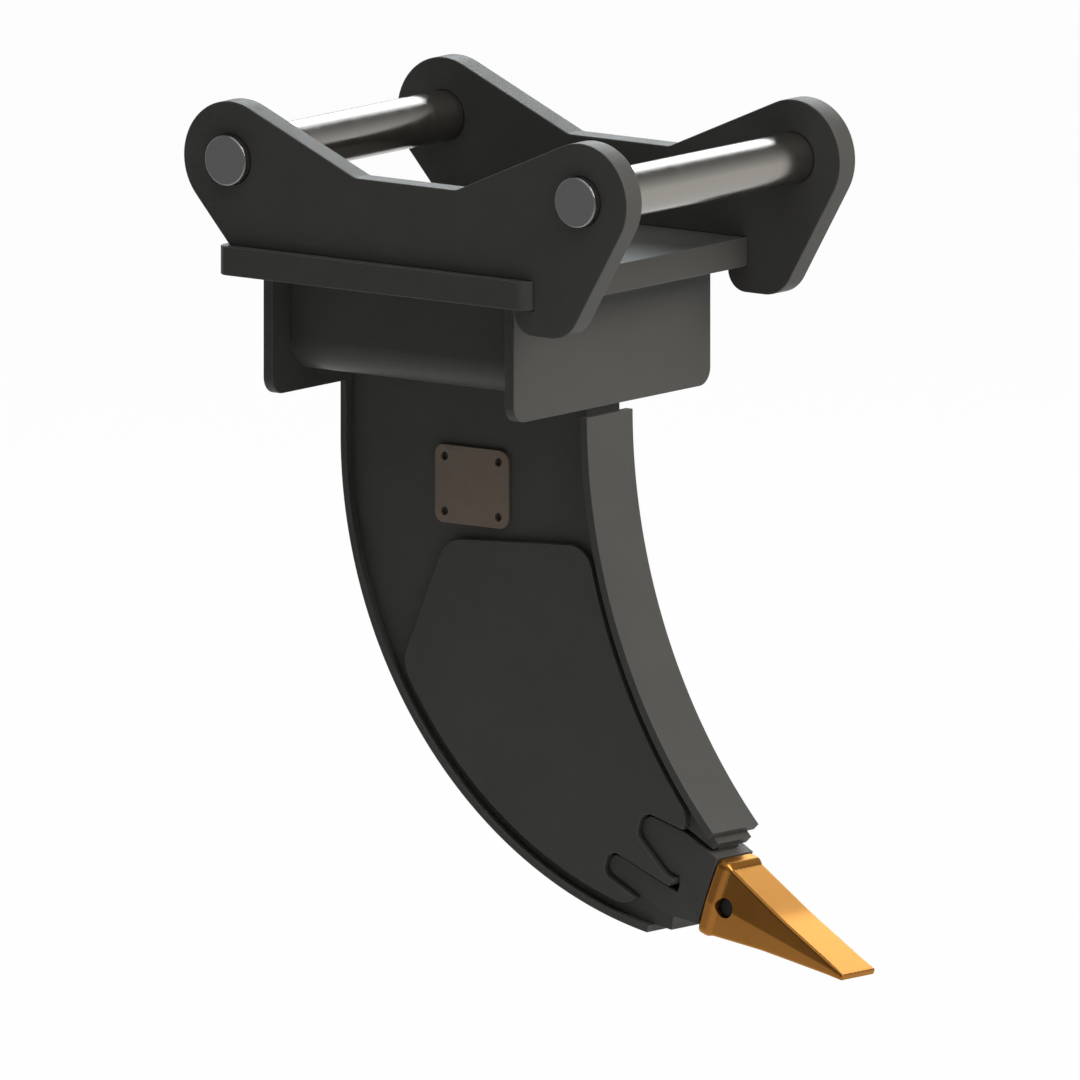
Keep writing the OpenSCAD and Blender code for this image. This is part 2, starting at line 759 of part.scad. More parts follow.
right_ear();
left_ear();
front_hitch_pin();
rear_hitch_pin();
base_plate();
head_front_plate();
head_rear_plate();
right_side_plate();
left_side_plate();
shank();
front_wear_bar();
rear_wear_strip();
right_cheek_plate();
left_cheek_plate();
blank_plate();
tooth_adapter();
tooth();
lock_pin();
lock_ring();
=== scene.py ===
import math

import bmesh
import bpy
from mathutils import Matrix, Vector


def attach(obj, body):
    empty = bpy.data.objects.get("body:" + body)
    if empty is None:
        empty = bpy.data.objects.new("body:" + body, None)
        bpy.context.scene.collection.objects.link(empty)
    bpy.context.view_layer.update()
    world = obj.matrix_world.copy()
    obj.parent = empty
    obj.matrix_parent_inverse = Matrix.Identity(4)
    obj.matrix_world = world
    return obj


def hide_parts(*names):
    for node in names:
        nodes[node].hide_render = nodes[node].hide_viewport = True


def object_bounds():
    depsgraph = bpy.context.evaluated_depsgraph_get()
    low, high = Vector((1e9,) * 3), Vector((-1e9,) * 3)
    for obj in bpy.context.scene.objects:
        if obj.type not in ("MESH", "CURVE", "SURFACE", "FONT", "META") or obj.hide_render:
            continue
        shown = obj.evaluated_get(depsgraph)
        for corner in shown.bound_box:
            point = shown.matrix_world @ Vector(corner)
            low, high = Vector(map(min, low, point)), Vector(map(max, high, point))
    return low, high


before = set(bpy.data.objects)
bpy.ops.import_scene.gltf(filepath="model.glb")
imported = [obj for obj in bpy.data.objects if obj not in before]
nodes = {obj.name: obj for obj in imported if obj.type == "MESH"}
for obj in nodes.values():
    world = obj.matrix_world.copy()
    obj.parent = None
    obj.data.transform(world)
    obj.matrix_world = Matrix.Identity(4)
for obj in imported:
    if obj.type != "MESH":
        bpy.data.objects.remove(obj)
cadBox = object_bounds()
scene = bpy.context.scene
scene.view_settings.view_transform = "Standard"
print("frame loaded:", len(nodes), "nodes")


# small helpers for node trees

def addNode(tree, kind, inputs=None, **settings):
    node = tree.nodes.new(kind)
    for key, value in settings.items():
        setattr(node, key, value)
    for key, value in (inputs or {}).items():
        node.inputs[key].default_value = value
    return node


def newGroup(name, inputs, outputs):
    group = bpy.data.node_groups.new(name, "ShaderNodeTree")
    for label, kind, value in inputs:
        socket = group.interface.new_socket(label, in_out="INPUT", socket_type=kind)
        if value is not None:
            socket.default_value = value
    for label, kind in outputs:
        group.interface.new_socket(label, in_out="OUTPUT", socket_type=kind)
    return group, group.nodes.new("NodeGroupInput"), group.nodes.new("NodeGroupOutput")


noiseSpan = {"From Min": 0.3, "From Max": 0.7}  # most of a noise lies between these
powder = {
    "grainScale": 700.0, "grainDetail": 2.0, "grainRough": 0.55,
    "mottleScale": 14.0, "mottleDetail": 4.0, "mottleRough": 0.6}


# powder coat: a fine orange-peel height and a slow mottle
def buildPowderGrain():
    group, given, out = newGroup(
        "powderGrain",
        [("Vector", "NodeSocketVector", None), ("Grain Scale", "NodeSocketFloat", powder["grainScale"]),
         ("Mottle Scale", "NodeSocketFloat", powder["mottleScale"])],
        [("Height", "NodeSocketFloat"), ("Mottle", "NodeSocketFloat")])
    grain = addNode(group, "ShaderNodeTexNoise",
                    {"Detail": powder["grainDetail"], "Roughness": powder["grainRough"]})
    mottle = addNode(group, "ShaderNodeTexNoise",
                     {"Detail": powder["mottleDetail"], "Roughness": powder["mottleRough"]})
    spread = addNode(group, "ShaderNodeMapRange", noiseSpan)
    link = group.links.new
    link(given.outputs["Vector"], grain.inputs["Vector"])
    link(given.outputs["Grain Scale"], grain.inputs["Scale"])
    link(given.outputs["Vector"], mottle.inputs["Vector"])
    link(given.outputs["Mottle Scale"], mottle.inputs["Scale"])
    link(mottle.outputs["Fac"], spread.inputs["Value"])
    link(grain.outputs["Fac"], out.inputs["Height"])
    link(spread.outputs["Result"], out.inputs["Mottle"])
    return group


grinding = {
    "stretch": (0.02, 1.0, 0.02), "lineScale": 900.0, "lineDetail": 3.0, "lineRough": 0.7,
    "streakScale": 60.0, "streakDetail": 2.0}


# fine grinding lines round a bar that lies along Y
def buildGroundLines():
    group, given, out = newGroup(
        "groundLines",
        [("Vector", "NodeSocketVector", None), ("Line Scale", "NodeSocketFloat", grinding["lineScale"])],
        [("Height", "NodeSocketFloat"), ("Streak", "NodeSocketFloat")])
    stretch = addNode(group, "ShaderNodeMapping", {"Scale": grinding["stretch"]})
    lines = addNode(group, "ShaderNodeTexNoise",
                    {"Detail": grinding["lineDetail"], "Roughness": grinding["lineRough"]})
    slow = addNode(group, "ShaderNodeTexNoise",
                   {"Scale": grinding["streakScale"], "Detail": grinding["streakDetail"]})
    link = group.links.new
    link(given.outputs["Vector"], stretch.inputs["Vector"])
    link(stretch.outputs["Vector"], lines.inputs["Vector"])
    link(given.outputs["Line Scale"], lines.inputs["Scale"])
    link(stretch.outputs["Vector"], slow.inputs["Vector"])
    link(lines.outputs["Fac"], out.inputs["Height"])
    link(slow.outputs["Fac"], out.inputs["Streak"])
    return group


powderGrain = buildPowderGrain()
groundLines = buildGroundLines()


def newMaterial(name, sockets):
    material = bpy.data.materials.new(name)
    material.use_nodes = True
    tree = material.node_tree
    shader = tree.nodes["Principled BSDF"]
    for key, value in sockets.items():
        shader.inputs[key].default_value = value
    coords = addNode(tree, "ShaderNodeTexCoord")
    return material, tree, shader, coords.outputs["Object"]


# a slow mottle between two tones and between two roughnesses
def addMottle(tree, coords, look):
    grain = addNode(tree, "ShaderNodeGroup", {"Mottle Scale": look["mottleScale"]}, node_tree=powderGrain)
    tone = addNode(tree, "ShaderNodeMix", {"A": look["dark"], "B": look["light"]}, data_type="RGBA")
    rough = addNode(tree, "ShaderNodeMapRange", {"To Min": look["roughLow"], "To Max": look["roughHigh"]})
    tree.links.new(coords, grain.inputs["Vector"])
    tree.links.new(grain.outputs["Mottle"], tone.inputs["Factor"])
    tree.links.new(grain.outputs["Mottle"], rough.inputs["Value"])
    return grain, tone.outputs["Result"], rough.outputs["Result"]


# edge is the colour of the rounded edges, a little lighter than the paint as a painted highlight
charcoal = {
    "dark": (0.073, 0.0715, 0.067, 1), "light": (0.081, 0.0795, 0.075, 1), "edge": (0.09, 0.0885, 0.084, 1),
    "roughLow": 0.42, "roughHigh": 0.5, "specular": 0.15,
    "grainScale": 620.0, "mottleScale": 11.0, "bump": 0.45, "bumpDepth": 0.0006}
bronze = {
    "dark": (0.205, 0.158, 0.126, 1), "light": (0.232, 0.18, 0.146, 1), "edge": (0.24, 0.19, 0.156, 1),
    "roughLow": 0.42, "roughHigh": 0.52, "specular": 0.2,
    "grainScale": 700.0, "mottleScale": 30.0, "bump": 0.18, "bumpDepth": 0.0004}


# a painted finish; the rounded edges, marked by the edge mask, are painted a little lighter as a painted
# highlight
def paintMaterial(name, look):
    material, tree, shader, coords = newMaterial(name, {"Specular IOR Level": look["specular"]})
    grain, tone, rough = addMottle(tree, coords, look)
    grain.inputs["Grain Scale"].default_value = look["grainScale"]
    edgeShine = addNode(tree, "ShaderNodeMix", {"B": look["edge"]}, data_type="RGBA")
    mark = addNode(tree, "ShaderNodeAttribute", attribute_name="edgeHighlight")
    bump = addNode(tree, "ShaderNodeBump", {"Strength": look["bump"], "Distance": look["bumpDepth"]})
    link = tree.links.new
    link(tone, edgeShine.inputs["A"])
    link(mark.outputs["Fac"], edgeShine.inputs["Factor"])
    link(edgeShine.outputs["Result"], shader.inputs["Base Color"])
    link(rough, shader.inputs["Roughness"])
    link(grain.outputs["Height"], bump.inputs["Height"])
    link(bump.outputs["Normal"], shader.inputs["Normal"])
    return material


# the shaft's grey is the steel's own; its slight warm tint is a painted reflection of the warm-lit
# surroundings
pinSteel = {
    "shaft": (0.31, 0.296, 0.272, 1), "face": (0.34, 0.34, 0.34, 1), "faceFrom": 0.2685, "metallic": 0.955,
    "roughLow": 0.18, "roughHigh": 0.25, "faceRough": 0.45,
    "lineScale": 900.0, "bump": 0.015, "bumpDepth": 0.0003}
# the lock pin is dark oiled steel; its colours, the end most of all, are darkened further as painted shade of
# the cross hole it sits in
lockSteel = {
    "shaft": (0.06, 0.06, 0.06, 1), "face": (0.04, 0.04, 0.04, 1), "faceFrom": 0.0305, "metallic": 1.0,
    "roughLow": 0.35, "roughHigh": 0.5, "faceRough": 0.55,
    "lineScale": 1200.0, "bump": 0.08, "bumpDepth": 0.0003}


# ground steel bars along Y, with duller sawn ends
def steelMaterial(name, look):
    material, tree, shader, coords = newMaterial(name, {"Metallic": look["metallic"]})
    lines = addNode(tree, "ShaderNodeGroup", {"Line Scale": look["lineScale"]}, node_tree=groundLines)
    apart = addNode(tree, "ShaderNodeSeparateXYZ")
    along = addNode(tree, "ShaderNodeMath", operation="ABSOLUTE")
    ends = addNode(tree, "ShaderNodeMath", {1: look["faceFrom"]}, operation="GREATER_THAN")
    tone = addNode(tree, "ShaderNodeMix", {"A": look["shaft"], "B": look["face"]}, data_type="RGBA")
    rough = addNode(tree, "ShaderNodeMapRange",
                    {**noiseSpan, "To Min": look["roughLow"], "To Max": look["roughHigh"]})
    dull = addNode(tree, "ShaderNodeMix", {"B": look["faceRough"]}, data_type="FLOAT")
    bump = addNode(tree, "ShaderNodeBump", {"Strength": look["bump"], "Distance": look["bumpDepth"]})
    link = tree.links.new
    link(coords, lines.inputs["Vector"])
    link(coords, apart.inputs[0])
    link(apart.outputs["Y"], along.inputs[0])
    link(along.outputs[0], ends.inputs[0])
    link(ends.outputs[0], tone.inputs["Factor"])
    link(tone.outputs["Result"], shader.inputs["Base Color"])
    link(lines.outputs["Streak"], rough.inputs["Value"])
    link(rough.outputs["Result"], dull.inputs["A"])
    link(ends.outputs[0], dull.inputs["Factor"])
    link(dull.outputs["Result"], shader.inputs["Roughness"])
    link(lines.outputs["Height"], bump.inputs["Height"])
    link(bump.outputs["Normal"], shader.inputs["Normal"])
    return material


lockRubber = {
    "dark": (0.012, 0.012, 0.012, 1), "light": (0.022, 0.022, 0.022, 1),
    "roughLow": 0.65, "roughHigh": 0.85, "specular": 0.3, "mottleScale": 14.0}


def rubberMaterial(name, look):
    material, tree, shader, coords = newMaterial(name, {"Specular IOR Level": look["specular"]})
    tone, rough = addMottle(tree, coords, look)[1:]
    tree.links.new(tone, shader.inputs["Base Color"])
    tree.links.new(rough, shader.inputs["Roughness"])
    return material


charcoalPaint = paintMaterial("charcoalPaint", charcoal)
bronzePlate = paintMaterial("bronzePlate", bronze)
pinMaterial = steelMaterial("pinSteel", pinSteel)
lockMaterial = steelMaterial("lockSteel", lockSteel)
ringMaterial = rubberMaterial("lockRubber", lockRubber)
print("paint, steel and rubber ready")


# small helpers for pieces

def linkPiece(name, mesh, material):
    piece = bpy.data.objects.new(name, mesh)
    scene.collection.objects.link(piece)
    mesh.materials.clear()
    mesh.materials.append(material)
    return piece


# turns the evaluated object into a plain mesh, with no modifier left
def settle(piece):
    bpy.context.view_layer.update()
    graph = bpy.context.evaluated_depsgraph_get()
    mesh = bpy.data.meshes.new_from_object(
        piece.evaluated_get(graph), preserve_all_data_layers=True, depsgraph=graph)
    old = piece.data
    piece.modifiers.clear()
    piece.data = mesh
    bpy.data.meshes.remove(old)
    return piece


# flat faces stay flat, and the rounded edges shade smoothly between them
def shadeRounded(piece, sharpAngle):
    mesh = piece.data
    mesh.polygons.foreach_set("use_smooth", [True] * len(mesh.polygons))
    mesh.set_sharp_from_angle(angle=sharpAngle)
    weigh = piece.modifiers.new("weightedNormals", "WEIGHTED_NORMAL")
    weigh.keep_sharp = True
    return settle(piece)


def handOver(piece, node):
    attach(piece, "root")
    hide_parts(node)


# faces that turn by less than flat are joined, edges that turn by more than pick are rounded,
# and what turns by more than sharp is shaded as a crease
plateEdges = {
    "segments": 3, "mergeGap": 1e-6, "flat": math.radians(0.4), "pick": math.radians(30),
    "sharp": math.radians(42)}
turnedEdges = {**plateEdges, "segments": 2}
stripEdges = {**plateEdges, "flat": math.radians(0.1), "pick": math.radians(50)}


# rounds the outer edges and marks the new faces, which the paint lightens as a painted highlight
def roundEdges(bm, width, look):
    mark = bm.loops.layers.float.new("edgeHighlight")
    bmesh.ops.remove_doubles(bm, verts=bm.verts, dist=look["mergeGap"])
    bmesh.ops.dissolve_limit(bm, angle_limit=look["flat"], verts=bm.verts, edges=bm.edges)
    edges = [edge for edge in bm.edges if len(edge.link_faces) == 2 and edge.is_convex
             and edge.calc_face_angle() > look["pick"]]
    made = bmesh.ops.bevel(bm, geom=edges, offset=width, offset_type="OFFSET", segments=look["segments"],
                           profile=0.5, affect="EDGES", clamp_overlap=False, loop_slide=True)
    for face in made["faces"]:
        for loop in face.loops:
            loop[mark] = 1.0
    bmesh.ops.recalc_face_normals(bm, faces=bm.faces)


# a CAD node's copy with its edges rounded
def roundedPiece(name, node, width, edges, material, slot):
    bm = bmesh.new()
    bm.from_mesh(nodes[node].data)
    roundEdges(bm, width, edges)
    mesh = bpy.data.meshes.new(name)
    bm.to_mesh(mesh)
    bm.free()
    piece = shadeRounded(linkPiece(name, mesh, material), edges["sharp"])
    handOver(piece, node)


# node and width of the rounded edge
plates = {
    "rightEar": ("right_ear", 0.0016), "leftEar": ("left_ear", 0.0016),
    "basePlate": ("base_plate", 0.0016),
    "headFrontPlate": ("head_front_plate", 0.0014), "headRearPlate": ("head_rear_plate", 0.0014),
    "rightSidePlate": ("right_side_plate", 0.001), "leftSidePlate": ("left_side_plate", 0.001),
    "shankPlate": ("shank", 0.0008),
    "rightCheek": ("right_cheek_plate", 0.0012), "leftCheek": ("left_cheek_plate", 0.0012),
    "weldOnAdapter": ("tooth_adapter", 0.0012)}
for name, (node, width) in plates.items():
    roundedPiece(name, node, width, plateEdges, charcoalPaint, "charcoal_paint")
print("plates rounded:", len(plates))

blankPlate = {"node": "blank_plate", "width": 0.0008, "material": bronzePlate, "slot": "bronze_plate"}
roundedPiece("blankPlate", edges=plateEdges, **blankPlate)
print("blank plate ready")

# the cast tooth, as sections along its own axis: u runs to the tip, v is square to it
ripperTooth = {
    "rear": (0.35095, -0.98239), "droop": math.radians(20), "length": 0.247,
    "collarFlat": 0.0125, "collarBlend": 0.0245, "collarRidge": 0.0442,
    "collarTop": 0.0575, "collarBottom": -0.0530, "collarCorner": 0.011,
    "rearRound": 0.006, "rearTopRound": 0.0025, "tipRound": 0.0018,
    "ridge": -0.003, "ridgeHalf": (0.0390, 0.0366), "leanAbove": 0.060, "leanBelow": 0.073,
    "top": ((0.011, 0.0548), (0.121, 0.0253), (0.247, -0.002)),
    "bottom": ((0.011, -0.0515), (0.105, -0.0315), (0.247, -0.010)),
    "softBend": 0.0003, "corner": 0.0045, "ridgeRound": 0.016,
    "cornerSteps": 6, "ridgeSteps": 2, "endSteps": 6, "collarSteps": 16, "bladeSteps": 48, "holeSteps": 48,
    "socket": ((-0.001, 0.029, 0.035), (0.122, 0.025, 0.009)), "hole": (0.032, -0.002), "holeRadius": 0.014,
    "sharp": math.radians(38)}
# towards the thin tip the ridge and the rounding shrink to these shares of the thickness
thinTip = {"ridgeDepth": 0.4, "corner": 0.25, "ridgeRound": 2.0}
gold = {
    "dark": (0.37, 0.155, 0.032, 1), "light": (0.395, 0.168, 0.036, 1), "metallic": 0.85,
    "specular": 0.2, "tint": (1, 0.85, 0.6, 1), "roughLow": 0.22, "roughHigh": 0.25, "mottleScale": 18.0,
    "collarRough": 0.38, "collarEnd": 0.0142, "bladeFrom": 0.0262}


def toothPoint(u, y, v):
    rearX, rearZ = ripperTooth["rear"]
    lean = ripperTooth["droop"]
    return (rearX + u * math.cos(lean) + v * math.sin(lean), y,
            rearZ - u * math.sin(lean) + v * math.cos(lean))


# smooth gold coat, duller on the collar
def goldMaterial(name, look):
    material, tree, shader, coords = newMaterial(
        name, {"Metallic": look["metallic"], "Specular IOR Level": look["specular"],
               "Specular Tint": look["tint"]})
    tone, rough = addMottle(tree, coords, look)[1:]
    toTip = Vector((math.cos(ripperTooth["droop"]), 0.0, -math.sin(ripperTooth["droop"])))
    rear = toTip.dot(Vector(toothPoint(0.0, 0.0, 0.0)))
    reach = addNode(tree, "ShaderNodeVectorMath", {1: toTip}, operation="DOT_PRODUCT")
    blade = addNode(tree, "ShaderNodeMapRange",
                    {"From Min": rear + look["collarEnd"], "From Max": rear + look["bladeFrom"]})
    dull = addNode(tree, "ShaderNodeMix", {"A": look["collarRough"]}, data_type="FLOAT")
    link = tree.links.new
    link(tone, shader.inputs["Base Color"])
    link(coords, reach.inputs[0])
    link(reach.outputs["Value"], blade.inputs["Value"])
    link(blade.outputs["Result"], dull.inputs["Factor"])
    link(rough, dull.inputs["B"])
    link(dull.outputs["Result"], shader.inputs["Roughness"])
    return material


# two straight runs with a soft bend between them
def bentLine(points, u, side):
    (u0, v0), (u1, v1), (u2, v2) = points
    first = v1 + (u - u1) * (v1 - v0) / (u1 - u0)
    second = v1 + (u - u1) * (v2 - v1) / (u2 - u1)
    return (first + second) / 2 + side * math.hypot((first - second) / 2, ripperTooth["softBend"])


# how far a rounded end has drawn in, at a depth from that end
def roundOff(depth, radius):
    return radius - math.sqrt(radius ** 2 - (radius - depth) ** 2) if depth < radius else 0.0


def roundCorner(before, corner, after, radius, steps):
    back = (before - corner).normalized()
    ahead = (after - corner).normalized()
    inner = back.angle(ahead)
    centre = corner + (back + ahead).normalized() * radius / math.sin(inner / 2)
    start = corner + back * radius / math.tan(inner / 2) - centre
    turn = (math.pi - inner) / steps
    return [centre + Matrix.Rotation(turn * step, 2) @ start for step in range(steps + 1)]


# one section: flat top and bottom, with a ridge along each side
def toothRing(u):
    look = ripperTooth
    fade = (u - look["collarFlat"]) / (look["collarBlend"] - look["collarFlat"])
    share = 0.5 + 0.5 * math.cos(math.pi * min(max(fade, 0.0), 1.0))
    tipInset = roundOff(look["length"] - u, look["tipRound"])
    sideInset = roundOff(u, look["rearRound"]) + tipInset
    topInset = roundOff(u, look["rearTopRound"]) + tipInset

    def blend(body, collar):
        return body + share * (collar - body)

    near, far = look["ridgeHalf"]
    ridgeHalf = blend(near + (far - near) * u / look["length"], look["collarRidge"]) - sideInset
    top = blend(bentLine(look["top"], u, 1), look["collarTop"]) - topInset
    bottom = blend(bentLine(look["bottom"], u, -1), look["collarBottom"]) + topInset
    thickness = top - bottom
    ridge = min(look["ridge"], top - thinTip["ridgeDepth"] * thickness)
    corner = min(blend(look["corner"], look["collarCorner"]), thinTip["corner"] * thickness)
    ridgeRound = min(look["ridgeRound"], thinTip["ridgeRound"] * thickness)
    topHalf = ridgeHalf - look["leanAbove"] * (top - ridge)
    bottomHalf = ridgeHalf - look["leanBelow"] * (ridge - bottom)
    outline = [Vector(spot) for spot in ((topHalf, top), (-topHalf, top), (-ridgeHalf, ridge),
                                         (-bottomHalf, bottom), (bottomHalf, bottom), (ridgeHalf, ridge))]
    edge = (corner, look["cornerSteps"])
    soft = (ridgeRound, look["ridgeSteps"])
    roundings = (edge, edge, soft) * 2
    ring = []
    for at, (spot, rounding) in enumerate(zip(outline, roundings)):
        after = outline[(at + 1) % len(outline)]
        ring += roundCorner(outline[at - 1], spot, after, *rounding)
    return [toothPoint(u, y, v) for y, v in ring]


def toothStations():
    look = ripperTooth
    flat, blend, length = look["collarFlat"], look["collarBlend"], look["length"]
    bladeEnd = length - look["tipRound"]
    ends, collar, blade = look["endSteps"], look["collarSteps"], look["bladeSteps"]
    quarter = [1 - math.cos(math.pi / 2 * step / ends) for step in range(ends + 1)]
    stations = [look["rearRound"] * share for share in quarter]
    stations += [flat + (blend - flat) * step / collar for step in range(collar + 1)]
    stations += [blend + (bladeEnd - blend) * step / blade for step in range(1, blade + 1)]
    return stations + [length - look["tipRound"] * share for share in reversed(quarter[:-1])]


# closes a row of rings, each with the same number of points, into a solid
def loftMesh(name, rings):
    count = len(rings[0])
    spots = [spot for ring in rings for spot in ring]
    faces = [tuple(range(count)), tuple(range(len(spots) - count, len(spots)))]
    for row in range(len(rings) - 1):
        for at in range(count):
            here = row * count + at
            beside = row * count + (at + 1) % count
            faces.append((here, beside, beside + count, here + count))
    mesh = bpy.data.meshes.new(name)
    mesh.from_pydata(spots, [], faces)
    bm = bmesh.new()
    bm.from_mesh(mesh)
    bmesh.ops.recalc_face_normals(bm, faces=bm.faces)
    bm.to_mesh(mesh)
    bm.free()
    return mesh


def socketRings():
    corners = ((1, 1), (-1, 1), (-1, -1), (1, -1))
    return [[toothPoint(u, y * half, v * high) for y, v in corners]
            for u, half, high in ripperTooth["socket"]]


# the cross hole's tool is longer than the tooth is wide
def holeRings():
    look = ripperTooth
    (u, v), radius, steps = look["hole"], look["holeRadius"], look["holeSteps"]
    turns = [math.tau * step / steps for step in range(steps)]
    return [[toothPoint(u + radius * math.cos(turn), y, v + radius * math.sin(turn)) for turn in turns]
            for y in (-look["length"], look["length"])]


def cutTooth(piece, name, rings):
    tool = linkPiece(name, loftMesh(name, rings), goldPaint)
    cut = piece.modifiers.new(name, "BOOLEAN")
    cut.operation = "DIFFERENCE"
    cut.solver = "EXACT"
    cut.object = tool
    settle(piece)
    bpy.data.objects.remove(tool)


def toothPiece():
    rings = [toothRing(u) for u in toothStations()]
    piece = linkPiece("ripperTooth", loftMesh("ripperTooth", rings), goldPaint)
    cutTooth(piece, "socket", socketRings())
    cutTooth(piece, "crossHole", holeRings())
    shadeRounded(piece, ripperTooth["sharp"])
    handOver(piece, "tooth")


goldPaint = goldMaterial("goldPaint", gold)
toothPiece()
print("tooth lofted")

# node, width of the rounded edge, material and slot
turned = {
    "frontHitchPin": ("front_hitch_pin", 0.0006, pinMaterial, "pin_steel"),
    "rearHitchPin": ("rear_hitch_pin", 0.0006, pinMaterial, "pin_steel"),
    "toothLockPin": ("lock_pin", 0.0003, lockMaterial, "lock_steel"),
    "toothLockRing": ("lock_ring", 0.0004, ringMaterial, "lock_rubber")}
for name, (node, width, material, slot) in turned.items():
    roundedPiece(name, node, width, turnedEdges, material, slot)
print("turned parts ready:", len(turned))


# a flat strip bent to an arc, with a straight run above it, swept down its middle line
def buildSweptStrip():
    tree = bpy.data.node_groups.new("sweptStrip", "GeometryNodeTree")
    tree.interface.new_socket("Geometry", in_out="OUTPUT", socket_type="NodeSocketGeometry")
    for label in ("Centre X", "Centre Z", "Radius", "Sweep", "Straight", "Width", "Thickness"):
        tree.interface.new_socket(label, in_out="INPUT", socket_type="NodeSocketFloat")
    tree.interface.new_socket("Steps", in_out="INPUT", socket_type="NodeSocketInt")
    tree.interface.new_socket("Material", in_out="INPUT", socket_type="NodeSocketMaterial")
    given = tree.nodes.new("NodeGroupInput")
    out = tree.nodes.new("NodeGroupOutput")
    link = tree.links.new

    def calc(operation, *terms):
        node = addNode(tree, "ShaderNodeMath", operation=operation)
        for socket, term in zip(node.inputs, terms):
            if isinstance(term, (int, float)):
                socket.default_value = term
            else:
                link(term, socket)
        return node.outputs[0]

    radius, straight = given.outputs["Radius"], given.outputs["Straight"]
    line = addNode(tree, "GeometryNodeCurvePrimitiveLine", {"End": (1.0, 0.0, 0.0)})
    points = addNode(tree, "GeometryNodeResampleCurve")
    share = addNode(tree, "GeometryNodeSplineParameter")
    wholeRun = calc("ADD", straight, calc("MULTIPLY", radius, given.outputs["Sweep"]))
    run = calc("MULTIPLY", share.outputs["Factor"], wholeRun)
    turn = calc("DIVIDE", calc("MAXIMUM", calc("SUBTRACT", run, straight), 0.0), radius)
    rise = calc("MAXIMUM", calc("SUBTRACT", straight, run), 0.0)
    across = calc("SUBTRACT", given.outputs["Centre X"], calc("MULTIPLY", radius, calc("COSINE", turn)))
    drop = calc("MULTIPLY", radius, calc("SINE", turn))
    height = calc("SUBTRACT", calc("ADD", given.outputs["Centre Z"], rise), drop)
    spot = addNode(tree, "ShaderNodeCombineXYZ")
    place = addNode(tree, "GeometryNodeSetPosition")
    level = addNode(tree, "GeometryNodeSetCurveNormal", mode="Z_UP")
    section = addNode(tree, "GeometryNodeCurvePrimitiveQuadrilateral")
    sweep = addNode(tree, "GeometryNodeCurveToMesh", {"Fill Caps": True})
    upright = addNode(tree, "GeometryNodeTransform", {"Rotation": (math.pi / 2, 0.0, 0.0)})
    whole = addNode(tree, "GeometryNodeRealizeInstances")
    finish = addNode(tree, "GeometryNodeSetMaterial")
    link(line.outputs[0], points.inputs["Curve"])
    link(given.outputs["Steps"], points.inputs["Count"])
    link(across, spot.inputs["X"])
    link(height, spot.inputs["Y"])
    link(points.outputs[0], place.inputs["Geometry"])
    link(spot.outputs[0], place.inputs["Position"])
    link(place.outputs[0], level.inputs["Curve"])
    link(given.outputs["Thickness"], section.inputs["Width"])
    link(given.outputs["Width"], section.inputs["Height"])
    link(level.outputs[0], sweep.inputs["Curve"])
    link(section.outputs[0], sweep.inputs["Profile Curve"])
    link(sweep.outputs[0], upright.inputs["Geometry"])
    link(upright.outputs[0], whole.inputs["Geometry"])
    link(whole.outputs[0], finish.inputs["Geometry"])
    link(given.outputs["Material"], finish.inputs["Material"])
    link(finish.outputs[0], out.inputs["Geometry"])
    return tree


sweptStrip = buildSweptStrip()
frontWearBar = {
    "node": "front_wear_bar", "edge": 0.0009,
    "Centre X": 0.970, "Centre Z": -0.3388, "Radius": 0.821, "Sweep": math.radians(42.7), "Straight": 0.0,
    "Width": 0.103, "Thickness": 0.012, "Steps": 97}
rearWearStrip = {
    "node": "rear_wear_strip", "edge": 0.0009,
    "Centre X": 0.3804, "Centre Z": -0.402, "Radius": 0.6437, "Sweep": math.radians(79.1), "Straight": 0.076,
    "Width": 0.103, "Thickness": 0.010, "Steps": 129}


def stripPiece(name, look):
    piece = linkPiece(name, bpy.data.meshes.new(name), charcoalPaint)
    modifier = piece.modifiers.new("sweptStrip", "NODES")
    modifier.node_group = sweptStrip
    for item in sweptStrip.interface.items_tree:
        if item.in_out == "INPUT":
            modifier[item.identifier] = charcoalPaint if item.name == "Material" else look[item.name]
    settle(piece)
    bm = bmesh.new()
    bm.from_mesh(piece.data)
    roundEdges(bm, look["edge"], stripEdges)
    bm.to_mesh(piece.data)
    bm.free()
    shadeRounded(piece, stripEdges["sharp"])
    handOver(piece, look["node"])


stripPiece("frontWearBar", frontWearBar)
stripPiece("rearWearStrip", rearWearStrip)
print("wear strips swept")


# camera: parallel view, three quarters from the front right
view = {
    "right": (0.7947, 0.6071, 0.0), "up": (-0.09608, 0.12578, 0.9874), "back": (0.5994, -0.7847, 0.1583),
    "aimRight": 0.0279, "aimUp": -0.5222, "distance": 6.0, "width": 1.4718, "clipEnd": 60.0}


def placeCamera():
    right, up, back = (Vector(view[key]).normalized() for key in ("right", "up", "back"))
    data = bpy.data.cameras.new("camera")
    data.type = "ORTHO"
    data.ortho_scale = view["width"]
    data.clip_end = view["clipEnd"]
    camera = bpy.data.objects.new("camera", data)
    scene.collection.objects.link(camera)
    place = right * view["aimRight"] + up * view["aimUp"] + back * view["distance"]
    camera.matrix_world = Matrix.Translation(place) @ Matrix((right, up, back)).transposed().to_4x4()
    scene.camera = camera


placeCamera()
print("camera placed")

